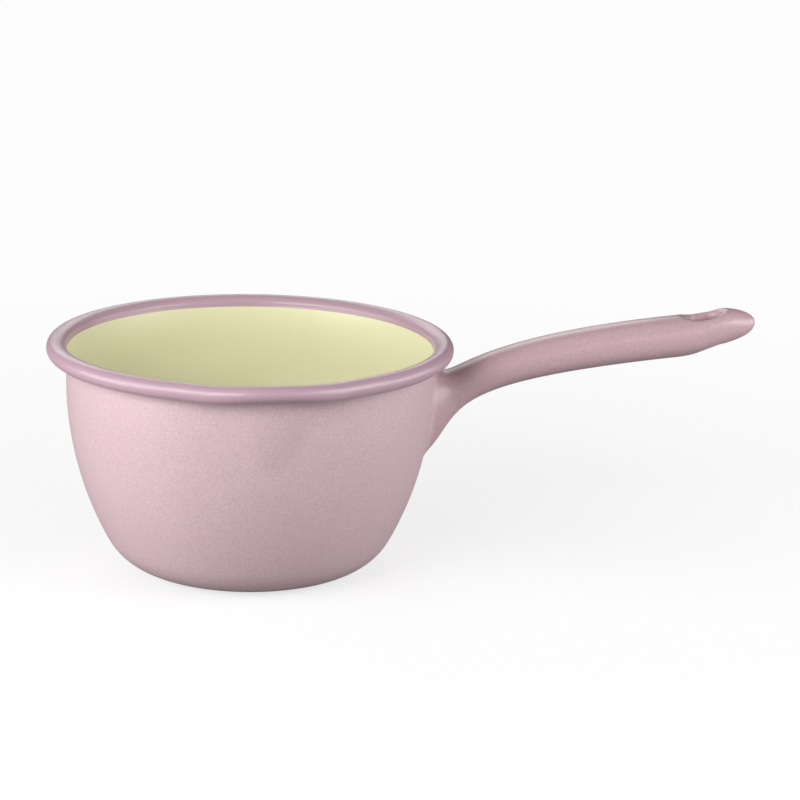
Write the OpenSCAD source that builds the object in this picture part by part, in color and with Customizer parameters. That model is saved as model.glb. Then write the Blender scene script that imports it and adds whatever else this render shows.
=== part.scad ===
// Enamelled steel saucepan with a rolled rim, one pouring spout and a hollow tube handle.
// The origin is the centre of the base on the table, +Z is up, the handle points along +X
// and the spout points along -Y. Lengths are in millimetres.

/* [Vessel] */
// Radius of the wall above its curve, outside the enamel
wall_r = 79.6; // [72:0.1:86]
// Height of the centre of the rolled rim
rim_z = 97.7; // [93:0.1:112]
// Radius of the rolled rim's round section, with its enamel
curl_r = 3.8; // [3.2:0.1:4.6]
// How far the rolled rim stands out from the wall
rim_reach = 8.4; // [7.8:0.1:9.4]
// Radius of the wide curve that draws the wall in towards the base
wall_curve_r = 147; // [132:1:156]
// Radius of the tight curve between the wall and the base
knuckle_r = 26; // [16:0.5:30]
// Angle through which the wide curve turns
wall_turn = 28; // [22:0.5:30]
// Angle that the rolled rim turns through, from the wall's top to its free edge
curl_turn = 325; // [310:1:328]
// How much wider the rolled rim is on its inner side than on its outer side
lip_in = 0.8; // [0.4:0.1:1.2]
// Height of the flare that carries the wall out to the rolled rim
flare_h = 4.6; // [4:0.1:6]
// How far the line between the two colours lies below the centre of the rolled rim
line_drop = 1.1; // [0.7:0.1:1.8]

/* [Sheet and enamel] */
// Thickness of the pressed steel sheet
sheet = 0.9; // [0.7:0.05:1.1]
// Thickness of each coat of enamel
coat = 0.35; // [0.25:0.05:0.45]

/* [Spout] */
// How far the spout stands out of the round wall at the rim
spout_out = 4.8; // [3:0.1:7]
// How far the spout's lip rises above the rest of the rim
spout_rise = 1.5; // [0:0.1:3]
// Height of the spout, from its lower point to the centre of the rolled rim
spout_h = 34; // [26:0.5:42]
// Height below the rolled rim's centre over which the spout widens to the rim's wider bend
lip_h = 8.7; // [7:0.1:10]
// Half of the angle of the wall that the spout takes up below the rim
spout_half = 18; // [14:0.5:24]
// Half of the angle over which the spout bends the rolled rim outwards
lip_half = 30; // [26:0.5:34]
// Half of the angle over which the rolled rim rises at the spout
rise_half = 20.5; // [18:0.5:24]

/* [Handle] */
// Distance from the wall to the end of the handle's even part
grip_reach = 110.4; // [90:0.1:130]
// Length of the rounded end beyond the even part
tip_len = 35.3; // [30:0.1:41]
// How far the rounded end turns up
tip_lift = 2.6; // [0:0.1:4]
// Height of the handle's section along its even part
grip_tall = 18.2; // [16:0.1:21]
// Width of the handle's section along its even part
grip_wide = 21.8; // [19:0.1:25]
// Height of the middle of the handle where the even part ends
grip_z = 98.6; // [92:0.1:106]
// Height of the middle of the handle's foot
foot_z = 68.3; // [66:0.1:70]
// Height of the foot's section inside the wall
foot_tall = 45; // [40:0.5:47]
// Width of the foot's section inside the wall
foot_wide = 37; // [32:0.5:40]
// Depth inside the wall, at the foot's lowest point, at which the foot's section is taken
foot_depth = 0.7; // [0.6:0.1:1.4]
// Height of the weld that closes each side seam of the handle
seam_gap = 0.8; // [0.5:0.1:1.2]
// Width of the weld between the handle's foot and the wall
foot_gap = 1.2; // [0.8:0.1:1.6]

/* [Hanging hole] */
// Length of the hole's mouth at the top of the handle
mouth_len = 16; // [14:0.1:19]
// Width of the hole's mouth at the top of the handle
mouth_wide = 11.5; // [10:0.1:13]
// Length of the hole where it leaves the underside
outlet_len = 11.5; // [10:0.1:13]
// Width of the hole where it leaves the underside
outlet_wide = 7.5; // [6:0.1:9]
// Distance from the handle's tip to the middle of the hole
eye_inset = 22.3; // [20:0.1:26]
// Clearance between the hole's drawn neck and the lower shell
eye_fit = 0.15; // [0.1:0.05:0.3]

/* [Hidden] */

pink = [0.79, 0.67, 0.69];
rim_pink = [0.74, 0.60, 0.64];
yellow = [0.86, 0.84, 0.66];
steel = [0.55, 0.56, 0.58];
weld_grey = [0.42, 0.42, 0.44];

// Counts of steps along each stretch of the wall's section
knuckle_steps = 4;
low_steps = 4;
high_steps = 5;
flare_steps = 4;
curl_quarter_steps = 3;
edge_steps = 1;
// Share of the wide curve's turn that lies above the spout's lower point
high_turn_share = 0.3;
// Counts of columns across the spout, from it to each side of the vessel, and round the back
spout_columns = 18;
side_columns = 8;
back_columns = 24;
// Counts of rings along the handle and its rounded end, and of points round half a ring
grip_rings = 12;
tip_rings = 6;
half_points = 10;
seam_points = 2;

// Direction that the spout points in, and the angle either side of the handle that cuts its foot
spout_dir = -90;
foot_half_angle = 36;
disc_fn = 144;

// The sheet with both coats, and the surfaces measured inwards from the outer enamel
skin = sheet + 2 * coat;
steel_out = coat;
steel_in = coat + sheet;

// Centres of the section's arcs
wall_cx = wall_r - wall_curve_r;
flat_r = wall_cx + (wall_curve_r - knuckle_r) * cos(wall_turn);
wall_cz = knuckle_r + (wall_curve_r - knuckle_r) * sin(wall_turn);
curl_cx = wall_r + rim_reach - curl_r;
flare_z = rim_z - flare_h;
flare_out = curl_cx - (curl_r - skin) - lip_in - wall_r;
spout_tip_z = rim_z - spout_h;
lip_z = rim_z - lip_h;
// The spout's least width at its lower point, as a share of its width at the rim
tip_width_share = 0.3;

// Places along the section
knuckle_first = 1;
low_first = knuckle_first + knuckle_steps;
high_first = low_first + low_steps;
lip_place = high_first + high_steps + 1;
flare_first = lip_place + 1;
line_place = flare_first + flare_steps;
curl_first = line_place + 1;
round_steps = 3 * curl_quarter_steps;
curl_last = curl_first + round_steps + edge_steps;

// Each entry holds a point of the outer surface and the direction out of the sheet
function wall_entry(a) =
    [wall_cx + wall_curve_r * cos(a), wall_cz - wall_curve_r * sin(a), cos(a), -sin(a)];
function flare_entry(u) =
    let (slope = flare_out * 6 * u * (1 - u) / flare_h, size = sqrt(1 + slope * slope))
    [wall_r + flare_out * smooth(u), flare_z + flare_h * u, 1 / size, -slope / size];
function curl_entry(a) =
    let (
        up = curl_r - skin,
        across = a > 90 ? up + lip_in : up,
        size = norm([cos(a) / across, sin(a) / up])
    )
    [
        curl_cx + across * cos(a), rim_z + up * sin(a),
        -cos(a) / across / size, -sin(a) / up / size
    ];
function smooth(u) = u <= 0 ? 0 : u >= 1 ? 1 : u * u * (3 - 2 * u);
high_turn = wall_turn * high_turn_share;
three_quarters = 270;
// Share of the flare's height that lies below the colour line
line_share = 1 - line_drop / flare_h;
outer_line = concat(
    [[0, 0, 0, -1]],
    [for (i = [0 : knuckle_steps])
        let (a = 90 - (90 - wall_turn) * i / knuckle_steps)
        [flat_r + knuckle_r * cos(a), knuckle_r * (1 - sin(a)), cos(a), -sin(a)]],
    [for (i = [1 : low_steps]) wall_entry(wall_turn + (high_turn - wall_turn) * i / low_steps)],
    [for (i = [1 : high_steps]) wall_entry(high_turn * (1 - i / high_steps))],
    [[wall_r, lip_z, 1, 0]],
    [for (i = [0 : flare_steps]) flare_entry(line_share * i / flare_steps)],
    [curl_entry(180)],
    [for (i = [1 : round_steps]) curl_entry(180 - three_quarters * i / round_steps)],
    [for (i = [1 : edge_steps])
        curl_entry(180 - three_quarters - (curl_turn - three_quarters) * i / edge_steps)]
);

// Point i of the section, at a depth below the outer surface
function skin_point(i, depth) =
    [outer_line[i][0] - depth * outer_line[i][2], outer_line[i][1] - depth * outer_line[i][3]];

// Closed outline between two places on the section and two depths
function band(first, last, d_out, d_in) = concat(
    [for (i = [first : last]) skin_point(i, d_out)],
    [for (i = [last : -1 : first]) skin_point(i, d_in)]
);

// Shares of the spout's push and rise at each place on the section
function push_share(i) =
    i >= curl_first ? 1 : max(0, (outer_line[i][1] - spout_tip_z) / spout_h);
function rise_share(i) =
    i >= curl_first ? 1 : max(0, (outer_line[i][1] - wall_cz) / (rim_z - wall_cz));
// A blunt V: straight flanks, a rounded ridge and a softened foot on each side
ridge_share = 0.45;
edge_share = 0.3;
function blunt(x) =
    x >= 1 ? 0
    : x > 1 - edge_share ? (1 - x) * (1 - x) / (2 * edge_share)
    : x > ridge_share ? 1 - x - edge_share / 2
    : 1 - (ridge_share + edge_share) / 2 - x * x / (2 * ridge_share);
function bump(x) = blunt(abs(x)) / blunt(0);
// The wall's V widens upwards, and the rolled rim above it bends over a wider angle
function reach_share(i) =
    i >= curl_first ? 1 : min(1, max(0, (outer_line[i][1] - spout_tip_z) / (lip_z - spout_tip_z)));
function lip_share(i) = i >= curl_first ? 1 : smooth((outer_line[i][1] - lip_z) / lip_h);
function half_angle(i) =
    spout_half * (tip_width_share + (1 - tip_width_share) * reach_share(i))
    + (lip_half - spout_half) * lip_share(i);
function push(i, a) = spout_out * push_share(i) * bump(a / half_angle(i));
function rise(i, a) = spout_rise * rise_share(i) * bump(a / rise_half);
// Share of the rolled rim's height that the spout presses flat
pinch_share = 0.13;
function kept_share(i, a) = i >= curl_first ? 1 - pinch_share * bump(a / rise_half) : 1;

// Angles of the columns round the vessel, from the spout's middle, with one on each axis
side_turn = 90 - lip_half;
column_angles = concat(
    [for (i = [0 : spout_columns]) -lip_half + 2 * lip_half * i / spout_columns],
    [for (i = [1 : side_columns]) lip_half + side_turn * i / side_columns],
    [for (i = [1 : back_columns]) 90 + 180 * i / back_columns],
    [for (i = [1 : side_columns - 1]) 270 + side_turn * i / side_columns]
);
// The columns that face the handle's foot, a quarter turn from the spout
foot_angles = [for (a = column_angles) if (abs(a + spout_dir) < foot_half_angle) a];

// Triangles of a net, without those that shrink to a line
function whole(faces) =
    [for (f = faces) if (f[0] != f[1] && f[1] != f[2] && f[0] != f[2]) f];

// Solid swept round the vessel's axis from an outline whose points ride on places of the section
module vessel_sweep(outline, places, angles, closed) {
    n = len(outline);
    columns = len(angles);
    points = [
        for (a = angles) for (k = [0 : n - 1])
            let (
                r = outline[k][0] == 0 ? 0 : outline[k][0] + push(places[k], a),
                kept = kept_share(places[k], a),
                z = rim_z + (outline[k][1] - rim_z) * kept + rise(places[k], a)
            )
            [r * cos(a + spout_dir), r * sin(a + spout_dir), z]
    ];
    function at(j, k) = outline[k % n][0] == 0 ? k % n : (j % columns) * n + k % n;
    net = whole([
        for (j = [0 : columns - (closed ? 1 : 2)]) for (k = [0 : n - 1]) each [
            [at(j, k), at(j + 1, k + 1), at(j + 1, k)],
            [at(j, k), at(j, k + 1), at(j + 1, k + 1)]
        ]
    ]);
    caps = closed ? [] : [
        [for (k = [n - 1 : -1 : 0]) at(0, k)],
        [for (k = [0 : n - 1]) at(columns - 1, k)]
    ];
    polyhedron(points, concat(net, caps), convexity = 8);
}

// One layer of the vessel between two places on the section and two depths
module vessel_layer(first, last, d_out, d_in) {
    places = concat([for (i = [first : last]) i], [for (i = [last : -1 : first]) i]);
    vessel_sweep(band(first, last, d_out, d_in), places, column_angles, true);
}

// Everything inside the wall near the handle, which cuts the handle's foot to fit it
module vessel_core(depth) {
    outline = concat([for (i = [0 : curl_first]) skin_point(i, depth)], [[0, rim_z]]);
    places = concat([for (i = [0 : curl_first]) i], [0]);
    vessel_sweep(outline, places, foot_angles, false);
}

// Handle: its run along X, the height of its middle, and its section
foot_drop = max(0, wall_cz - foot_z + foot_tall / 2);
grip_start_x = wall_cx + sqrt(wall_curve_r * wall_curve_r - foot_drop * foot_drop) - foot_depth;
grip_run = wall_r + grip_reach - grip_start_x;
tip_x = wall_r + grip_reach + tip_len;
run_shares = [0, 0.197, 0.002, 1];
climb_shares = [0, 0.054, 0.664, 1];
neck_tall_share = 0.43;
neck_wide_share = 0.6;
// Powers that square the section and the rounded end a little
section_power = 2 / 2.3;
tip_power = 2 / 2.3;
// Share of the rounded end over which it turns up
lift_share = 0.71;

function curve(c, t) =
    c[0] * pow(1 - t, 3) + 3 * c[1] * pow(1 - t, 2) * t
    + 3 * c[2] * (1 - t) * t * t + c[3] * pow(t, 3);
function shaped(v, power) = sign(v) * pow(abs(v), power);

// Rings along the handle: place, height of the middle, half height and half width
function grip_ring(t, depth) = [
    grip_start_x + grip_run * curve(run_shares, t),
    foot_z + (grip_z - foot_z) * curve(climb_shares, t),
    curve([foot_tall, neck_tall_share * grip_tall, grip_tall, grip_tall], t) / 2 - depth,
    curve([foot_wide, neck_wide_share * grip_wide, grip_wide, grip_wide], t) / 2 - depth
];
grip_slope = (grip_z - foot_z) * (climb_shares[3] - climb_shares[2])
    / (grip_run * (run_shares[3] - run_shares[2]));
function tip_mid(dx) = grip_z + grip_slope * dx + tip_lift * smooth(dx / (tip_len * lift_share));
function tip_ring(a, depth) =
    let (dx = (tip_len - depth) * shaped(sin(a), tip_power), s = shaped(cos(a), tip_power))
    [
        wall_r + grip_reach + dx,
        tip_mid(dx),
        (grip_tall / 2 - depth) * s,
        (grip_wide / 2 - depth) * s
    ];
function handle_rings(depth) = concat(
    [for (i = [0 : grip_rings]) grip_ring(i / grip_rings, depth)],
    [for (i = [1 : tip_rings]) tip_ring(90 * i / tip_rings, depth)]
);
function ring_point(ring, a) = [
    ring[0],
    ring[3] * shaped(cos(a), section_power),
    ring[1] + ring[2] * shaped(sin(a), section_power)
];

// Solid through rows of points along the handle, whose last row has shrunk to its tip points
module handle_loft(rows, tip_points) {
    n = len(rows[0]);
    last = len(rows) - 1;
    function at(j, k) = j < last ? j * n + k % n : last * n + (k % n < n / tip_points ? 0 : n - 1);
    net = whole([
        for (j = [0 : last - 1]) for (k = [0 : n - 1]) each [
            [at(j, k), at(j + 1, k + 1), at(j, k + 1)],
            [at(j, k), at(j + 1, k), at(j + 1, k + 1)]
        ]
    ]);
    foot = [[for (k = [0 : n - 1]) k]];
    polyhedron([for (row = rows) each row], concat(net, foot), convexity = 6);
}

// Angle round the section that half of a side seam takes up
seam_angle = asin(pow(seam_gap / grip_tall, 1 / section_power));
function spread(a0, a1, steps) = [for (k = [0 : steps]) a0 + (a1 - a0) * k / steps];
// Angles round the whole section, which the two shells and the welds between them share
body_angles = concat(
    spread(seam_angle, 180 - seam_angle, half_points), [180],
    spread(180 + seam_angle, 360 - seam_angle, half_points), [360]
);

// Everything inside one depth of the handle
module handle_body(depth) {
    handle_loft([for (ring = handle_rings(depth)) [for (a = body_angles) ring_point(ring, a)]], 1);
}

// Part of the handle's steel between two angles round its section
module handle_strip(a0, a1, steps) {
    outer = handle_rings(steel_out);
    inner = handle_rings(steel_in);
    handle_loft([for (j = [0 : len(outer) - 1]) concat(
        [for (a = spread(a0, a1, steps)) ring_point(outer[j], a)],
        [for (a = spread(a1, a0, steps)) ring_point(inner[j], a)]
    )], 2);
}

// Hanging hole: an oval funnel square to the handle, wider at the top
eye_x = tip_x - eye_inset;
eye_dx = eye_x - wall_r - grip_reach;
eye_z = tip_mid(eye_dx);
eye_tilt = atan(grip_slope + tip_lift / (tip_len * lift_share));
eye_over = 3;
eye_half = grip_tall / 2;
plate = 0.01;

module oval(length, width) {
    square([length - width, width], center = true);
    for (side = [-1, 1])
        translate([side * (length - width) / 2, 0])
            circle(d = width, $fn = 32);
}

// The funnel grown outwards by a margin
module eye_cone(grow) {
    reach = eye_half + eye_over;
    fall_len = (mouth_len - outlet_len) / (2 * eye_half);
    fall_wide = (mouth_wide - outlet_wide) / (2 * eye_half);
    translate([eye_x, 0, eye_z])
    rotate([0, -eye_tilt, 0])
    hull()
        for (side = [-1, 1])
            translate([0, 0, side * reach])
                linear_extrude(plate)
                    oval(
                        (mouth_len + outlet_len) / 2 + side * reach * fall_len + 2 * grow,
                        (mouth_wide + outlet_wide) / 2 + side * reach * fall_wide + 2 * grow
                    );
}

module vessel_shell() {
    color(steel)
        vessel_layer(0, curl_last, steel_out, steel_in);
}

module outer_enamel() {
    color(pink)
        difference() {
            vessel_layer(knuckle_first, curl_first, 0, steel_out);
            handle_body(0);
        }
}

module base_enamel() {
    color(pink)
        cylinder(r = flat_r, h = coat, $fn = disc_fn);
}

module inner_enamel() {
    color(yellow)
        vessel_layer(0, line_place, steel_in, skin);
}

module rim_enamel() {
    color(rim_pink)
        vessel_layer(line_place, curl_last, steel_in, skin);
}

// The drawn neck of the hanging hole, which starts half way through the sheet
module eye_neck() {
    difference() {
        intersection() {
            eye_cone(coat + sheet);
            handle_body(coat + sheet / 2);
        }
        eye_cone(coat);
    }
}

module handle_upper_shell() {
    color(steel)
        difference() {
            union() {
                difference() {
                    handle_strip(seam_angle, 180 - seam_angle, half_points);
                    eye_cone(coat + sheet / 2);
                }
                eye_neck();
            }
            vessel_core(steel_out - foot_gap);
        }
}

module handle_lower_shell() {
    color(steel)
        difference() {
            handle_strip(180 + seam_angle, 360 - seam_angle, half_points);
            eye_cone(coat + sheet + eye_fit);
            vessel_core(steel_out - foot_gap);
        }
}

module handle_seam_weld() {
    color(weld_grey)
        difference() {
            union() {
                handle_strip(-seam_angle, seam_angle, seam_points);
                handle_strip(180 - seam_angle, 180 + seam_angle, seam_points);
            }
            vessel_core(steel_out - foot_gap);
        }
}

module handle_foot_weld() {
    color(weld_grey)
        difference() {
            intersection() {
                handle_body(steel_out);
                vessel_core(steel_out - foot_gap);
            }
            handle_body(steel_in);
            vessel_core(steel_out);
        }
}

module handle_enamel() {
    color(pink)
        difference() {
            handle_body(0);
            difference() {
                handle_body(steel_out);
                eye_cone(coat);
            }
            eye_cone(0);
            vessel_core(steel_out);
        }
}

vessel_shell();
outer_enamel();
base_enamel();
inner_enamel();
rim_enamel();
handle_upper_shell();
handle_lower_shell();
handle_seam_weld();
handle_foot_weld();
handle_enamel();
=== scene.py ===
import math

import bpy
import numpy as np
from mathutils import Euler, Matrix, Vector


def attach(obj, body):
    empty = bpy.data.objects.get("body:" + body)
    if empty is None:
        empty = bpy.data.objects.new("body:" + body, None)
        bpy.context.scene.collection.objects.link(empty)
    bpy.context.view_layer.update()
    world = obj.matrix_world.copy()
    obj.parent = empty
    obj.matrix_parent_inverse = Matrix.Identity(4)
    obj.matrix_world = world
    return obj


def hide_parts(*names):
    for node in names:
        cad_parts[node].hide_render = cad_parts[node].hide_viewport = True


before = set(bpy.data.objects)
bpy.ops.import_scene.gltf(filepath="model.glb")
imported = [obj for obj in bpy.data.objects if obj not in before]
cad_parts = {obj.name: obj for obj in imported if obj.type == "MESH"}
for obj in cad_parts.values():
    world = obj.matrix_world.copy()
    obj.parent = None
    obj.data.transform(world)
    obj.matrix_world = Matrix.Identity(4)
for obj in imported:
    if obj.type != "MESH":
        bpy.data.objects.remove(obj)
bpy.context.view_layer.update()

# The sizes of the pan are in millimetres, and Blender's lengths are in metres
MM = 0.001

# Sizes of the vessel, the same as in the CAD source, with angles in degrees
WALL_R = 79.6         # radius of the wall above its curve, outside the enamel
RIM_Z = 97.7          # height of the centre of the rolled rim
CURL_R = 3.8          # radius of the rolled rim's round section
RIM_REACH = 8.4       # how far the rolled rim stands out from the wall
WALL_CURVE_R = 147.0  # radius of the wide curve that draws the wall in
KNUCKLE_R = 26.0      # radius of the tight curve between the wall and the base
WALL_TURN = 28.0      # angle through which the wide curve turns
CURL_TURN = 325.0     # angle through which the rolled rim turns
LIP_IN = 0.8          # how much wider the rolled rim is on its inner side
LINE_DROP = 1.1       # how far the colour line lies below the rim's centre
FLARE_H = 4.6         # height of the flare that carries the wall out to the rim
SHEET = 0.9           # thickness of the steel sheet
COAT = 0.35           # thickness of each coat of enamel
SKIN = SHEET + 2 * COAT

# Sizes of the spout
SPOUT_OUT = 4.8       # how far it stands out of the round wall at the rim
SPOUT_RISE = 1.5      # how far its lip rises above the rest of the rim
SPOUT_H = 34.0        # its height, from its lower point to the rim's centre
LIP_H = 8.7           # height over which it widens to the rim's own bend
SPOUT_HALF = 18.0     # half of the angle that it takes up on the wall
LIP_HALF = 30.0       # half of the angle over which the rim bends outwards
RISE_HALF = 20.5      # half of the angle over which the rim rises
SPOUT_DIR = -90.0     # direction in which it points
PINCH_SHARE = 0.13    # how much flatter it presses the rolled rim
TIP_WIDTH_SHARE = 0.3  # its width at its lower point, of its width at the rim
RIDGE_SHARE = 0.45    # how much of its half width the rounded ridge takes up
EDGE_SHARE = 0.3      # how much of its half width the softened edge takes up

# Sizes of the handle
GRIP_REACH = 110.4    # from the wall to the end of the even part
TIP_LEN = 35.3        # length of the rounded end
TIP_LIFT = 2.6        # how far the rounded end turns up
GRIP_TALL = 18.2      # height of the section along the even part
GRIP_WIDE = 21.8      # width of the section along the even part
GRIP_Z = 98.6         # height of the middle where the even part ends
FOOT_Z = 68.3         # height of the middle of the foot
FOOT_TALL = 45.0      # height of the foot's section
FOOT_WIDE = 37.0      # width of the foot's section
FOOT_DEPTH = 0.7      # depth of the foot's section inside the wall
LIFT_SHARE = 0.71     # part of the rounded end over which it turns up
SECTION_POWER = 2.3   # 2 is an ellipse, and more is squarer

# Shares that guide the handle's curves: how it runs out and climbs from its foot to the end
# of its even part, and the height and width towards which its neck is drawn
RUN_SHARES = (0.0, 0.197, 0.002, 1.0)
CLIMB_SHARES = (0.0, 0.054, 0.664, 1.0)
NECK_TALL_SHARE = 0.43
NECK_WIDE_SHARE = 0.6

# Sizes of the hanging hole, or eye, which narrows from its mouth down to its outlet
MOUTH_LEN = 16.0
MOUTH_WIDE = 11.5
OUTLET_LEN = 11.5
OUTLET_WIDE = 7.5
EYE_INSET = 22.3      # from the handle's tip to the middle of the hole

# Places worked out from those sizes
WALL_CX = WALL_R - WALL_CURVE_R
FLAT_R = WALL_CX + (WALL_CURVE_R - KNUCKLE_R) * math.cos(math.radians(WALL_TURN))
WALL_CZ = KNUCKLE_R + (WALL_CURVE_R - KNUCKLE_R) * math.sin(math.radians(WALL_TURN))
CURL_CX = WALL_R + RIM_REACH - CURL_R
FLARE_Z = RIM_Z - FLARE_H
FLARE_OUT = CURL_CX - (CURL_R - SKIN) - LIP_IN - WALL_R
LIP_Z = RIM_Z - LIP_H
SPOUT_TIP_Z = RIM_Z - SPOUT_H
FOOT_DROP = WALL_CZ - FOOT_Z + FOOT_TALL / 2
GRIP_START = WALL_CX + math.sqrt(WALL_CURVE_R ** 2 - FOOT_DROP ** 2) - FOOT_DEPTH
GRIP_END = WALL_R + GRIP_REACH
GRIP_RUN = GRIP_END - GRIP_START
GRIP_SLOPE = (GRIP_Z - FOOT_Z) * (CLIMB_SHARES[3] - CLIMB_SHARES[2]) / (
    GRIP_RUN * (RUN_SHARES[3] - RUN_SHARES[2]))
EYE_X = GRIP_END + TIP_LEN - EYE_INSET
EYE_TILT = math.atan(GRIP_SLOPE + TIP_LIFT / (TIP_LEN * LIFT_SHARE))

# What the scene alone draws: the inside eases outwards from EASE_Z up to the colour line,
# and the line lies LINE_LOWER below its place in the CAD source
EASE_Z = 72.0
EASE_POWER = 3
LINE_LOWER = 0.6

# Counts of steps along the vessel's section, and the radii of the rings on its base
KNUCKLE_STEPS = 14
WALL_STEPS = 44
STRAIGHT_STEPS = 12
FLARE_STEPS = 14
CURL_STEPS = 56
BASE_RADII = (0.0, 6.0, 14.0, 22.0, 30.0, 36.0)

# Columns round the vessel: those across the spout, up to SPOUT_SPAN degrees to each side
SPOUT_SPAN = 33
SPOUT_COLUMNS = 133
REST_COLUMNS = 295

# Columns of the table that holds a section: radius, height and the two parts of the
# direction out of the sheet, then how far the spout pushes and lifts the row, half of the
# angle of the push, and how far the spout presses the row flat
RADIUS, HEIGHT, OUTWARDS, UPWARDS, PUSH, LIFT, HALF, PINCH = range(8)

# The coat of enamel on the handle
FILLET = 2.2          # rounding between the handle's foot and the wall
LIP_ROUND = 4.0       # rounding of the hole's edges
SINK = 0.05           # how far the coat sinks, so that its edge ends in the wall
TUCK = 0.3            # how far the coat goes on inside the wall
GRIP_SAMPLES = 400    # places along the handle in the table of its sections

# The grid in which that coat is found, and how its points are pulled onto the surface
CELL = 0.5
GRID_LOW = (68.0, -26.0, 38.0)
GRID_HIGH = (228.5, 26.0, 116.0)
PULL_ROUNDS = 3
PULL_MOST_SHARE = 0.4  # the furthest that one round moves a point, of a cell

# Steps over which a field's slope is measured, and limits that keep divisions safe
LOFT_STEP = 0.05
PULL_STEP = 0.02
LEAST_LOFT_SLOPE = 1e-8
LEAST_PULL_SLOPE = 0.05
LEAST_LENGTH = 1e-9

# The camera, found from the photograph's outline
CAMERA_PLACE = (-0.13505, -1.18533, 0.38961)  # metres
CAMERA_TURN = (75.19183, -1.20439, -9.31201)  # degrees about X, Y and Z
CAMERA_LENS = 127.37                          # millimetres, as are the sensor's
CAMERA_SENSOR = 36.0
CAMERA_NEAR = 0.05                            # metres, as is the far end of its view
CAMERA_FAR = 50.0

# The floor, with lengths in metres
FLOOR_HALF = 8.0
FLOOR_BOUNCE = 0.36   # its grey, as the object sees it
FLOOR_PALE = 0.93     # its grey, as the camera sees it
FLOOR_ROUGHNESS = 0.9
FLOOR_SPECULAR = 0.1
FLOOR_WHITE = 0.98    # the even white that takes over further off, for the camera alone
WHITE_LEAST = 0.72    # share of that white close to the object
WHITE_FROM = 0.1      # distance at which the white begins to grow
WHITE_TO = 0.6        # distance from which all is white

# The lamps, with lengths in metres: azimuth from the camera's side, elevation, distance,
# width, height and glow
LAMP_AIM = (0.03, 0.0, 0.06)
FRONT_AZIMUTH = -96.5
SOFTBOXES = {
    "left_softbox": (-32, 26, 1.1, 0.56, 0.42, 9.9),
    "far_left_softbox": (-62, 26, 1.1, 0.56, 0.42, 4.5),
    "low_left_softbox": (-76, 8, 1.1, 1.14, 0.39, 6.2),
    "right_softbox": (62, 26, 1.1, 0.56, 0.42, 6.9),
    "low_right_softbox": (88, 8, 1.1, 1.14, 0.39, 4.7),
    "front_softbox": (28, 18, 1.1, 0.5, 0.7, 1.3),
    "back_softbox": (-170, 28, 1.1, 0.9, 0.42, 2.8),
    "top_softbox": (0, 86, 1.3, 1.1, 1.1, 0.4),
}
WORLD_LEVEL = 0.06


def smooth(share):
    """Rises from 0 to 1 with a level start and end."""
    share = np.clip(share, 0.0, 1.0)
    return share * share * (3 - 2 * share)


def blunt(x):
    """Half of a blunt V: a rounded ridge, a straight flank and a softened edge."""
    x = np.abs(x)
    edge = (1 - x) ** 2 / (2 * EDGE_SHARE)
    flank = 1 - x - EDGE_SHARE / 2
    ridge = 1 - (RIDGE_SHARE + EDGE_SHARE) / 2 - x * x / (2 * RIDGE_SHARE)
    found = np.where(x > RIDGE_SHARE, flank, ridge)
    found = np.where(x > 1 - EDGE_SHARE, edge, found)
    return np.where(x >= 1, 0.0, found)


def bump(x):
    """The blunt V, 1 at its middle and 0 from 1 on."""
    return blunt(x) / blunt(np.array(0.0))


# The vessel: one section in layers, swept round the axis
def arc_row(centre_r, centre_z, radius, degrees):
    """A row on a curve, at an angle below the level of its centre."""
    a = math.radians(degrees)
    return (centre_r + radius * math.cos(a), centre_z - radius * math.sin(a),
            math.cos(a), -math.sin(a))


def flare_row(share):
    """A row on the flare, which runs from the wall out to the rolled rim."""
    slope = FLARE_OUT * 6 * share * (1 - share) / FLARE_H
    size = math.hypot(1, slope)
    return (WALL_R + FLARE_OUT * float(smooth(share)), FLARE_Z + FLARE_H * share,
            1 / size, -slope / size)


def wall_rows():
    """Outer surface from the middle of the base, round the knuckle and up to the rim."""
    rows = [(radius, 0.0, 0.0, -1.0) for radius in BASE_RADII]
    for i in range(KNUCKLE_STEPS + 1):
        degrees = 90 - (90 - WALL_TURN) * i / KNUCKLE_STEPS
        rows.append(arc_row(FLAT_R, KNUCKLE_R, KNUCKLE_R, degrees))
    for i in range(1, WALL_STEPS + 1):
        degrees = WALL_TURN * (1 - i / WALL_STEPS)
        rows.append(arc_row(WALL_CX, WALL_CZ, WALL_CURVE_R, degrees))
    straight = np.linspace(WALL_CZ, FLARE_Z, STRAIGHT_STEPS + 2)[1:-1]
    rows += [(WALL_R, z, 1.0, 0.0) for z in straight]
    line_share = 1 - LINE_DROP / FLARE_H
    shares = np.linspace(0, line_share, FLARE_STEPS + 1)
    rows += [flare_row(share) for share in (*shares, (1 + line_share) / 2, 1.0)]
    return with_spout(np.array(rows))


def with_spout(rows):
    """Adds the columns that say how the spout moves each row of the wall."""
    z = rows[:, HEIGHT]
    push = np.clip((z - SPOUT_TIP_Z) / SPOUT_H, 0, None)
    lift = np.clip((z - WALL_CZ) / (RIM_Z - WALL_CZ), 0, None)
    up = np.clip((z - SPOUT_TIP_Z) / (LIP_Z - SPOUT_TIP_Z), 0, 1)
    half = SPOUT_HALF * (TIP_WIDTH_SHARE + (1 - TIP_WIDTH_SHARE) * up)
    half += (LIP_HALF - SPOUT_HALF) * smooth((z - LIP_Z) / LIP_H)
    return np.column_stack([rows, push, lift, half, np.zeros_like(z)])


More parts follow.
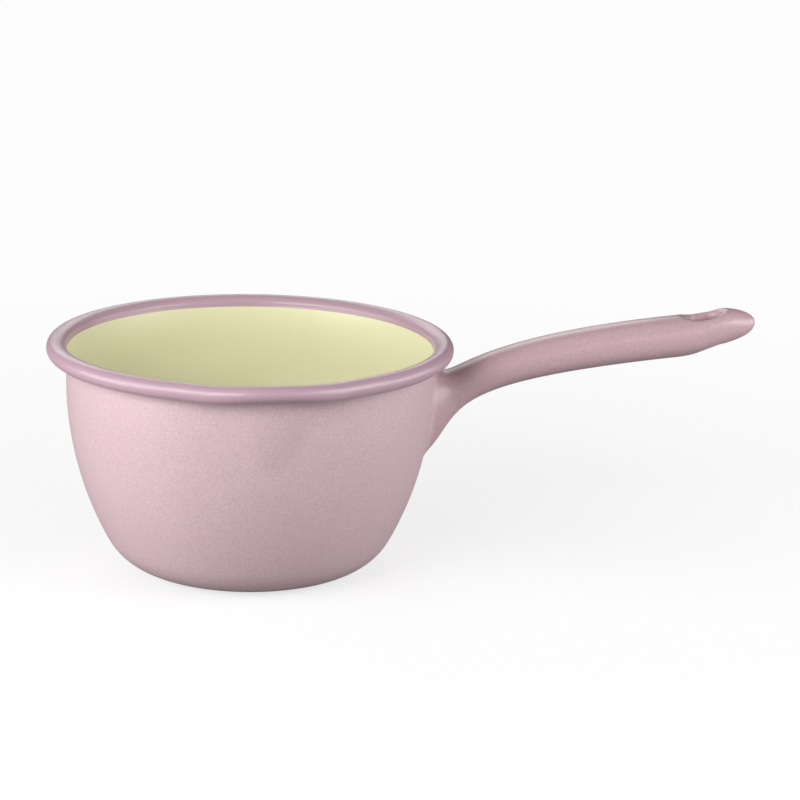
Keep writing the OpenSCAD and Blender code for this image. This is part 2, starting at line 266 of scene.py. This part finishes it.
def curl_rows():
    """Outer surface from the wall's top over the rolled rim to its free edge."""
    a = np.radians(180 - np.linspace(0, CURL_TURN, CURL_STEPS + 1))
    up = CURL_R - SKIN
    across = np.where(a > math.pi / 2, up + LIP_IN, up)
    outwards = np.column_stack([-np.cos(a) / across, -np.sin(a) / up])
    outwards /= np.linalg.norm(outwards, axis=1, keepdims=True)
    whole = np.ones_like(a)
    return np.column_stack([CURL_CX + across * np.cos(a), RIM_Z + up * np.sin(a),
                            outwards, whole, whole, LIP_HALF * whole, whole])


def at_depth(rows, depth):
    """The same rows, moved inwards by a depth below the outer surface."""
    found = rows.copy()
    found[:, RADIUS] -= depth * rows[:, OUTWARDS]
    found[:, HEIGHT] -= depth * rows[:, UPWARDS]
    found[rows[:, RADIUS] == 0, RADIUS] = 0.0
    return found


def eased(rows, depth):
    """Rows inside the pan, which ease outwards so that no bend shows below the colour line."""
    found = at_depth(rows, depth)
    wall_r = WALL_R - depth
    line_r, line_z = found[-1, :2]
    share = np.clip((found[:, HEIGHT] - EASE_Z) / (line_z - EASE_Z), 0, 1)
    upper = found[:, HEIGHT] > EASE_Z
    found[upper, RADIUS] = (np.minimum(found[upper, RADIUS], wall_r)
                            + (line_r - wall_r) * share[upper] ** EASE_POWER)
    return found


def column_angles():
    """Angles from the spout's direction, closer together across the spout."""
    spout = np.linspace(-SPOUT_SPAN, SPOUT_SPAN, SPOUT_COLUMNS)
    rest = np.linspace(SPOUT_SPAN, 360 - SPOUT_SPAN, REST_COLUMNS)[1:-1]
    return np.concatenate([spout, rest])


def swept(outline, angles):
    """Points and quads of the net that a closed outline makes when swept round the axis."""
    a = angles[:, None]
    from_spout = (a + 180) % 360 - 180
    push = SPOUT_OUT * outline[None, :, PUSH] * bump(from_spout / outline[None, :, HALF])
    lift = SPOUT_RISE * outline[None, :, LIFT] * bump(from_spout / RISE_HALF)
    kept = 1 - PINCH_SHARE * outline[None, :, PINCH] * bump(from_spout / RISE_HALF)
    middle = outline[None, :, RADIUS] == 0
    r = np.where(middle, 0, outline[None, :, RADIUS] + push)
    z = RIM_Z + (outline[None, :, HEIGHT] - RIM_Z) * kept + lift
    turn = np.radians(a + SPOUT_DIR)
    points = np.stack([r * np.cos(turn), r * np.sin(turn), z], -1)
    number = np.arange(r.size).reshape(r.shape)
    number[:, middle[0]] = number[0, middle[0]][None, :]
    next_column = np.roll(number, -1, 0)
    next_row = np.roll(number, -1, 1)
    next_both = np.roll(next_column, -1, 1)
    quads = np.stack([number, next_row, next_both, next_column], -1)
    return points.reshape(-1, 3), quads.reshape(-1, 4)


def mesh_object(name, points, quads, material):
    """A mesh object from points in millimetres, with doubled corners dropped."""
    faces = []
    for quad in quads.tolist():
        kept = [corner for i, corner in enumerate(quad) if corner != quad[i - 1]]
        if len(kept) >= 3:
            faces.append(kept)
    used = np.unique(np.array([corner for face in faces for corner in face]))
    renumber = np.full(len(points), -1)
    renumber[used] = np.arange(len(used))
    faces = [[int(renumber[corner]) for corner in face] for face in faces]
    mesh = bpy.data.meshes.new(name)
    mesh.from_pydata((points[used] * MM).tolist(), [], faces)
    mesh.update()
    mesh.shade_smooth()
    mesh.materials.append(material)
    return placed(name, mesh)


def placed(name, data):
    """A new object in the scene that holds a mesh, a lamp or a camera."""
    thing = bpy.data.objects.new(name, data)
    bpy.context.scene.collection.objects.link(thing)
    return thing


def layer(name, outside, inside, material):
    """One closed layer of the vessel, between two surfaces."""
    points, quads = swept(np.vstack([outside, inside[::-1]]), column_angles())
    return mesh_object(name, points, quads, material)


# The handle: a field that is below zero inside its coat of enamel
def curve(ends, t):
    """A cubic Bezier curve through four values."""
    return (ends[0] * (1 - t) ** 3 + 3 * ends[1] * (1 - t) ** 2 * t
            + 3 * ends[2] * (1 - t) * t * t + ends[3] * t ** 3)


def grip_table():
    """Along the handle: place, height of its middle, half height and half width."""
    t = np.linspace(0, 1, GRIP_SAMPLES)
    x = GRIP_START + GRIP_RUN * curve(RUN_SHARES, t)
    z = FOOT_Z + (GRIP_Z - FOOT_Z) * curve(CLIMB_SHARES, t)
    tall = curve((FOOT_TALL, NECK_TALL_SHARE * GRIP_TALL, GRIP_TALL, GRIP_TALL), t) / 2
    wide = curve((FOOT_WIDE, NECK_WIDE_SHARE * GRIP_WIDE, GRIP_WIDE, GRIP_WIDE), t) / 2
    return x, z, tall, wide


def tip_mid(past):
    """Height of the rounded end's middle, at a distance past the even part."""
    return GRIP_Z + GRIP_SLOPE * past + TIP_LIFT * smooth(past / (TIP_LEN * LIFT_SHARE))


GRIP_TABLE = grip_table()
EYE_Z = float(tip_mid(EYE_X - GRIP_END))


def grip_field(points):
    """Below zero inside the handle's loft, but not a distance."""
    x, y, z = points[..., 0], points[..., 1], points[..., 2]
    table_x, table_z, table_tall, table_wide = GRIP_TABLE
    past = np.maximum(x - table_x[-1], 0)
    middle = np.where(past > 0, tip_mid(past), np.interp(x, table_x, table_z))
    tall = np.interp(x, table_x, table_tall)
    wide = np.interp(x, table_x, table_wide)
    power = SECTION_POWER
    return ((np.abs(y) / wide) ** power + (np.abs(z - middle) / tall) ** power
            + (past / TIP_LEN) ** power) ** (1 / power) - 1


def slope_of(field, points, step):
    """A field's slope along each axis, measured to both sides of each point."""
    slope = np.zeros(points.shape)
    for axis in range(3):
        shift = np.zeros(3)
        shift[axis] = step
        slope[..., axis] = (field(points + shift) - field(points - shift)) / (2 * step)
    return slope


def grip_distance(points):
    """The loft's field over its slope, which is close to a distance."""
    slope = slope_of(grip_field, points, LOFT_STEP)
    size = np.maximum((slope ** 2).sum(-1), LEAST_LOFT_SLOPE)
    return grip_field(points) / np.sqrt(size)


def wall_distance(points):
    """Distance outside the vessel's wall, which is below zero inside it."""
    r = np.hypot(points[..., 0], points[..., 1])
    z = points[..., 2]
    curved = np.hypot(r - WALL_CX, np.minimum(z - WALL_CZ, 0)) - WALL_CURVE_R
    return curved - FLARE_OUT * smooth((z - FLARE_Z) / FLARE_H)


def eye_distance(points):
    """Distance to the hanging hole's funnel, which is below zero inside it."""
    c, s = math.cos(EYE_TILT), math.sin(EYE_TILT)
    dx, dz = points[..., 0] - EYE_X, points[..., 2] - EYE_Z
    along, up = dx * c + dz * s, -dx * s + dz * c
    share = up / GRIP_TALL
    length = (MOUTH_LEN + OUTLET_LEN) / 2 + share * (MOUTH_LEN - OUTLET_LEN)
    width = (MOUTH_WIDE + OUTLET_WIDE) / 2 + share * (MOUTH_WIDE - OUTLET_WIDE)
    side = np.maximum(np.abs(along) - (length - width) / 2, 0)
    return np.hypot(side, points[..., 1]) - width / 2


def soft_min(a, b, size):
    """The lesser of two distances, with the corner between them rounded."""
    near = np.maximum(size - np.abs(a - b), 0) / size
    return np.minimum(a, b) - near * near * size / 4


def handle_field(points):
    """The loft joined to the wall by a fillet, less the hole and what lies in the wall.

    Nothing reaches further from the loft than the fillet's own size.
    """
    grip = grip_distance(points)
    wall = wall_distance(points)
    joined = soft_min(grip, wall, FILLET) + SINK
    pierced = -soft_min(-joined, eye_distance(points), LIP_ROUND)
    outside = np.maximum(pierced, -(wall + TUCK))
    return np.maximum(outside, grip - FILLET)


# A closed net of quads where a field changes sign
CORNERS = [(i, j, k) for i in (0, 1) for j in (0, 1) for k in (0, 1)]
AROUND_EDGE = ((1, 1), (0, 1), (0, 0), (1, 0))


def grid_values(field, axes):
    """The field at each point of a grid, worked out slice by slice."""
    values = np.empty([len(axis) for axis in axes], np.float32)
    for i, x in enumerate(axes[0]):
        y, z = np.meshgrid(axes[1], axes[2], indexing="ij")
        values[i] = field(np.stack([np.full_like(y, x), y, z], -1))
    return values


def at_corner(array, corner):
    """The value at one corner of every cell of a grid."""
    return array[tuple(slice(c, c + size - 1) for c, size in zip(corner, array.shape))]


def cell_points(values, active):
    """A point in each active cell, at the mean of where its edges cross the surface."""
    spots = np.argwhere(active)
    summed = np.zeros((len(spots), 3))
    crossings = np.zeros(len(spots))
    for start in CORNERS:
        for axis in range(3):
            if start[axis]:
                continue
            end = list(start)
            end[axis] = 1
            a, b = at_corner(values, start)[active], at_corner(values, end)[active]
            cross = (a < 0) != (b < 0)
            place = np.array(start, float)[None, :].repeat(len(spots), 0)
            place[:, axis] += np.where(cross, a / np.where(cross, a - b, 1), 0)
            summed += place * cross[:, None]
            crossings += cross
    return spots + summed / crossings[:, None]


def cell_quads(inside, number):
    """A quad round each grid edge that crosses the surface, turned to face outwards."""
    quads = []
    for axis in range(3):
        u, v = (axis + 1) % 3, (axis + 2) % 3
        a = np.take(inside, range(inside.shape[axis] - 1), axis)
        b = np.take(inside, range(1, inside.shape[axis]), axis)
        edges = np.argwhere(a != b)
        kept = np.all([(edges[:, side] >= 1) & (edges[:, side] <= inside.shape[side] - 2)
                       for side in (u, v)], axis=0)
        edges = edges[kept]
        around = []
        for back_u, back_v in AROUND_EDGE:
            cells = edges.copy()
            cells[:, u] -= back_u
            cells[:, v] -= back_v
            around.append(number[tuple(cells.T)])
        found = np.stack(around, -1)
        entering = ~a[tuple(edges.T)]
        found[entering] = found[entering][:, ::-1]
        quads.append(found)
    return np.concatenate(quads)


def pulled(field, points):
    """The points moved onto the surface, a small part of a cell at a time."""
    for _ in range(PULL_ROUNDS):
        slope = slope_of(field, points, PULL_STEP)
        size = np.maximum((slope ** 2).sum(1), LEAST_PULL_SLOPE)
        move = -slope * (field(points) / size)[:, None]
        length = np.maximum(np.linalg.norm(move, axis=1, keepdims=True), LEAST_LENGTH)
        points = points + move * np.minimum(1, PULL_MOST_SHARE * CELL / length)
    return points


def surface_net(field, low, high):
    """Points and quads of the closed surface on which a field is zero."""
    counts = [math.ceil((end - start) / CELL) + 1 for start, end in zip(low, high)]
    axes = [start + CELL * np.arange(count) for start, count in zip(low, counts)]
    values = grid_values(field, axes)
    inside = values < 0
    total = sum(at_corner(inside, corner).astype(np.int8) for corner in CORNERS)
    active = (total > 0) & (total < len(CORNERS))
    number = np.full(active.shape, -1, np.int64)
    number[active] = np.arange(active.sum())
    points = cell_points(values, active) * CELL + np.array(low)
    return pulled(field, points), cell_quads(inside, number)


# Materials, all procedural, from the place of each point on the object
def srgb(r, g, b):
    """A colour as a shader takes it, from its values of 0 to 255 in a picture."""
    def linear(value):
        value /= 255
        return value / 12.92 if value <= 0.04045 else ((value + 0.055) / 1.055) ** 2.4
    return (linear(r), linear(g), linear(b), 1.0)


class Paint:
    """A material, and short ways to add nodes to it."""

    # Places of the colour sockets of a mix node
    MIX_A, MIX_B, MIX_RESULT = 6, 7, 2

    def __init__(self, name):
        self.material = bpy.data.materials.new(name)
        self.material.use_nodes = True
        self.nodes = self.material.node_tree.nodes
        self.shader = self.nodes["Principled BSDF"]
        self.place = self.nodes.new("ShaderNodeTexCoord").outputs["Object"]

    def link(self, value, socket):
        """Sets a socket to a constant, or links it to another node's output."""
        if isinstance(value, (int, float, tuple)):
            socket.default_value = value
        else:
            self.material.node_tree.links.new(value, socket)

    def set(self, name, value):
        """Sets or links one socket of the main shader."""
        self.link(value, self.shader.inputs[name])

    def noise(self, per_mm, detail, roughness):
        """Noise from 0 to 1, with so many waves in a millimetre."""
        node = self.nodes.new("ShaderNodeTexNoise")
        node.inputs["Scale"].default_value = per_mm / MM
        node.inputs["Detail"].default_value = detail
        node.inputs["Roughness"].default_value = roughness
        self.link(self.place, node.inputs["Vector"])
        return node.outputs["Fac"]

    def ramp(self, source, low, high, to_low, to_high, smoothly=False):
        """Maps a range of values to another range, and holds them inside it."""
        node = self.nodes.new("ShaderNodeMapRange")
        node.interpolation_type = "SMOOTHSTEP" if smoothly else "LINEAR"
        node.inputs["From Min"].default_value = low
        node.inputs["From Max"].default_value = high
        node.inputs["To Min"].default_value = to_low
        node.inputs["To Max"].default_value = to_high
        self.link(source, node.inputs["Value"])
        return node.outputs["Result"]

    def mix(self, share, a, b):
        """A colour between two others: the first at a share of 0, the second at 1."""
        node = self.nodes.new("ShaderNodeMix")
        node.data_type = "RGBA"
        self.link(a, node.inputs[self.MIX_A])
        self.link(b, node.inputs[self.MIX_B])
        self.link(share, node.inputs["Factor"])
        return node.outputs[self.MIX_RESULT]

    def calculate(self, operation, *values):
        """One operation on numbers or on other nodes' outputs."""
        node = self.nodes.new("ShaderNodeMath")
        node.operation = operation
        for socket, value in zip(node.inputs, values):
            self.link(value, socket)
        return node.outputs[0]

    def hypotenuse(self, a, b):
        """The square root of the sum of two squares."""
        squares = [self.calculate("MULTIPLY", side, side) for side in (a, b)]
        return self.calculate("SQRT", self.calculate("ADD", *squares))

    def bump(self, height, depth, below=None):
        """Relief of so many millimetres, on top of another relief if there is one."""
        node = self.nodes.new("ShaderNodeBump")
        node.inputs["Distance"].default_value = depth * MM
        self.link(height, node.inputs["Height"])
        if below is not None:
            self.link(below, node.inputs["Normal"])
        self.set("Normal", node.outputs["Normal"])
        return node.outputs["Normal"]


ENAMEL_IOR = 1.52

# Waves of each pattern in a millimetre, and how its noise is made: detail and roughness
CLOUD = (0.045, 3.0, 0.5)
SLOW_WAVES = (0.09, 1.0, 0.4)
ORANGE_PEEL = (0.9, 2.0, 0.5)
DRIFT = (0.02, 1.0, 0.3)
STEEL_GRAIN = (0.8, 4.0, 0.6)
GRAIN_DETAIL = 2.0
GRAIN_ROUGHNESS = 0.6

# The part of a noise's range that a pattern uses, and how strongly the clouds show
NOISE_LOW = 0.3
NOISE_HIGH = 0.7
CLOUD_SHARE = 0.25

# Distances from the wall between which the handle's colour, the wall's enamel darkened as
# painted shade, takes over from the wall's
NEAR_WALL = 0.3
OFF_WALL = 2.6


def off_the_wall(paint):
    """Distance from the vessel's outside, in metres, worked out in the shader."""
    place = paint.nodes.new("ShaderNodeSeparateXYZ")
    paint.link(paint.place, place.inputs[0])
    x, y, z = place.outputs
    across = paint.calculate("SUBTRACT", paint.hypotenuse(x, y), WALL_CX * MM)
    up = paint.calculate("SUBTRACT", z, WALL_CZ * MM)
    down = paint.calculate("MINIMUM", up, 0.0)
    return paint.calculate("SUBTRACT", paint.hypotenuse(across, down), WALL_CURVE_R * MM)


def enamel(name, pale, deep, roughness, spread, contrast, grain_per_mm, peel, wave,
           wall_tones=None):
    """Mottled enamel with an orange-peel surface and slow waves, matt or glossy.

    The roughness varies by its spread, and peel and wave are reliefs in millimetres. The
    wall's two tones, where they are given, take the place of its own close to the wall.
    """
    paint = Paint(name)
    grain = paint.noise(grain_per_mm, GRAIN_DETAIL, GRAIN_ROUGHNESS)
    cloud = paint.noise(*CLOUD)
    grain_share = paint.ramp(grain, 0.5 - contrast, 0.5 + contrast, 0.0, 1.0)
    cloud_share = paint.ramp(cloud, NOISE_LOW, NOISE_HIGH, 0.0, CLOUD_SHARE)

    def mottled(tone, deep_tone):
        return paint.mix(cloud_share, paint.mix(grain_share, deep_tone, tone), deep_tone)

    colour = mottled(pale, deep)
    if wall_tones is not None:
        away = paint.ramp(off_the_wall(paint), NEAR_WALL * MM, OFF_WALL * MM, 0.0, 1.0)
        colour = paint.mix(away, mottled(*wall_tones), colour)
    paint.set("Base Color", colour)
    paint.set("Roughness", paint.ramp(cloud, NOISE_LOW, NOISE_HIGH,
                                      roughness - spread, roughness + spread))
    waves = paint.bump(paint.noise(*SLOW_WAVES), wave)
    paint.bump(paint.noise(*ORANGE_PEEL), peel, waves)
    paint.set("IOR", ENAMEL_IOR)
    return paint.material


def smooth_enamel(name, pale, deep, roughness):
    """Enamel without mottle, whose colour only drifts a little over the surface."""
    paint = Paint(name)
    paint.set("Base Color", paint.mix(paint.noise(*DRIFT), deep, pale))
    paint.set("Roughness", roughness)
    paint.set("IOR", ENAMEL_IOR)
    return paint.material


def metal(name, pale, deep, roughness, spread=0.08, relief=0.02):
    """Bare steel with a fine grain in its colour, roughness and surface."""
    paint = Paint(name)
    grain = paint.noise(*STEEL_GRAIN)
    share = paint.ramp(grain, NOISE_LOW, NOISE_HIGH, 0.0, 1.0)
    paint.set("Base Color", paint.mix(share, deep, pale))
    paint.set("Roughness", paint.ramp(grain, NOISE_LOW, NOISE_HIGH,
                                      roughness - spread, roughness + spread))
    paint.bump(grain, relief)
    paint.set("Metallic", 1.0)
    return paint.material


WALL_TONES = (srgb(196, 170, 176), srgb(180, 154, 160))
WALL_PINK = enamel("wall_pink_enamel", *WALL_TONES, roughness=0.38, spread=0.03,
                   contrast=0.16, grain_per_mm=1.2, peel=0.02, wave=0.02)
# The handle is the same enamel as the wall; its darker tones are painted shade, over all of the
# handle that stands off the wall
HANDLE_SHADED_PINK = enamel("handle_shaded_pink_enamel", srgb(182, 153, 159), srgb(170, 141, 147),
                     roughness=0.36, spread=0.03, contrast=0.16, grain_per_mm=1.2,
                     peel=0.02, wave=0.02, wall_tones=WALL_TONES)
RIM_PINK = enamel("rim_pink_enamel", srgb(170, 142, 153), srgb(164, 136, 147),
                  roughness=0.34, spread=0.02, contrast=0.2, grain_per_mm=1.6,
                  peel=0.004, wave=0.05)
YELLOW = smooth_enamel("inside_yellow_enamel", srgb(214, 211, 174), srgb(209, 206, 169),
                       roughness=0.30)
STEEL = metal("pressed_steel_sheet", srgb(150, 150, 152), srgb(108, 108, 112), 0.42)
WELD = metal("weld_bead_steel", srgb(122, 118, 116), srgb(84, 82, 82), 0.5)


# The pieces, and the CAD nodes that each stands for
def build_vessel():
    """The steel sheet and its three coats, which meet face to face."""
    wall = wall_rows()
    line_z = RIM_Z - LINE_DROP - LINE_LOWER
    line = int(np.argmin(np.abs(wall[:, HEIGHT] - line_z)))
    below = wall[:line + 1]
    above = np.vstack([wall[line:-1], curl_rows()])
    whole = np.vstack([below, above[1:]])
    sheet_inside = eased(below, COAT + SHEET)

    outer = layer("outer_coat", wall, at_depth(wall, COAT), WALL_PINK)
    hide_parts("outer_enamel", "base_enamel")

    steel_inside = np.vstack([sheet_inside, at_depth(above[1:], COAT + SHEET)])
    steel = layer("steel_sheet", at_depth(whole, COAT), steel_inside, STEEL)
    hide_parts("vessel_shell")

    inner = layer("inner_coat", sheet_inside, eased(below, SKIN), YELLOW)
    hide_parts("inner_enamel")

    rim = layer("rim_coat", at_depth(above, COAT + SHEET), at_depth(above, SKIN), RIM_PINK)
    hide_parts("rim_enamel")

    for piece in (outer, steel, inner, rim):
        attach(piece, "root")


def build_handle():
    """The coat over the handle, round its foot and through the hanging hole."""
    points, quads = surface_net(handle_field, GRID_LOW, GRID_HIGH)
    handle = mesh_object("handle_coat", points, quads, HANDLE_SHADED_PINK)
    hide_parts("handle_enamel", "handle_upper_shell")
    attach(handle, "root")


def dress_hidden_steel():
    """Materials for the CAD nodes that are kept, which lie inside the handle's coat."""
    finish_of = {"handle_lower_shell": STEEL, "handle_seam_weld": WELD, "handle_foot_weld": WELD}
    for name, material in finish_of.items():
        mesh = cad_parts[name].data
        mesh.materials.clear()
        mesh.materials.append(material)


# The floor, the lamps and the camera
def floor_paper():
    """Pale paper that takes the object's shadow, and is evenly white further off."""
    paint = Paint("floor_paper")
    seen = paint.nodes.new("ShaderNodeLightPath").outputs["Is Camera Ray"]
    paint.set("Base Color", paint.ramp(seen, 0.0, 1.0, FLOOR_BOUNCE, FLOOR_PALE))
    paint.set("Roughness", FLOOR_ROUGHNESS)
    paint.set("Specular IOR Level", FLOOR_SPECULAR)
    away = paint.nodes.new("ShaderNodeVectorMath")
    away.operation = "LENGTH"
    paint.link(paint.place, away.inputs[0])
    white_share = paint.ramp(away.outputs["Value"], WHITE_FROM, WHITE_TO, WHITE_LEAST, 1.0,
                             smoothly=True)
    white = paint.nodes.new("ShaderNodeEmission")
    white.inputs["Color"].default_value = (FLOOR_WHITE, FLOOR_WHITE, FLOOR_WHITE, 1.0)
    blend = paint.nodes.new("ShaderNodeMixShader")
    paint.link(paint.calculate("MULTIPLY", white_share, seen), blend.inputs[0])
    paint.link(paint.shader.outputs[0], blend.inputs[1])
    paint.link(white.outputs[0], blend.inputs[2])
    paint.link(blend.outputs[0], paint.nodes["Material Output"].inputs["Surface"])
    return paint.material


def build_floor():
    """A flat sheet under the pan, which isn't part of it."""
    mesh = bpy.data.meshes.new("floor")
    h = FLOOR_HALF
    mesh.from_pydata([(-h, -h, 0), (h, -h, 0), (h, h, 0), (-h, h, 0)], [], [(0, 1, 2, 3)])
    mesh.materials.append(floor_paper())
    floor = placed("floor", mesh)


def softbox(name, azimuth, elevation, distance, width, height, glow):
    """A broad lamp turned to the object, by its direction from it in degrees."""
    a, e = math.radians(FRONT_AZIMUTH + azimuth), math.radians(elevation)
    aim = Vector(LAMP_AIM)
    towards = Vector((math.cos(a) * math.cos(e), math.sin(a) * math.cos(e), math.sin(e)))
    lamp = bpy.data.lights.new(name, "AREA")
    lamp.shape = "RECTANGLE"
    lamp.size = width
    lamp.size_y = height
    lamp.energy = glow * math.pi * width * height
    holder = placed(name, lamp)
    holder.location = aim + distance * towards
    holder.rotation_mode = "QUATERNION"
    holder.rotation_quaternion = (aim - holder.location).to_track_quat("-Z", "Y")


def build_light():
    """A faint even sky and the softboxes."""
    world = bpy.data.worlds.new("studio")
    world.use_nodes = True
    sky = world.node_tree.nodes["Background"]
    sky.inputs["Color"].default_value = (1.0, 1.0, 1.0, 1.0)
    sky.inputs["Strength"].default_value = WORLD_LEVEL
    bpy.context.scene.world = world
    for name, settings in SOFTBOXES.items():
        softbox(name, *settings)


def build_camera():
    """The camera, at the photograph's viewing angle."""
    data = bpy.data.cameras.new("camera")
    data.lens = CAMERA_LENS
    data.sensor_width = CAMERA_SENSOR
    data.clip_start = CAMERA_NEAR
    data.clip_end = CAMERA_FAR
    camera = placed("camera", data)
    turn = Euler([math.radians(degrees) for degrees in CAMERA_TURN])
    camera.matrix_world = Matrix.Translation(CAMERA_PLACE) @ turn.to_matrix().to_4x4()
    bpy.context.scene.camera = camera


build_vessel()
build_handle()
dress_hidden_steel()
build_floor()
build_light()
build_camera()
bpy.context.scene.view_settings.view_transform = "Standard"
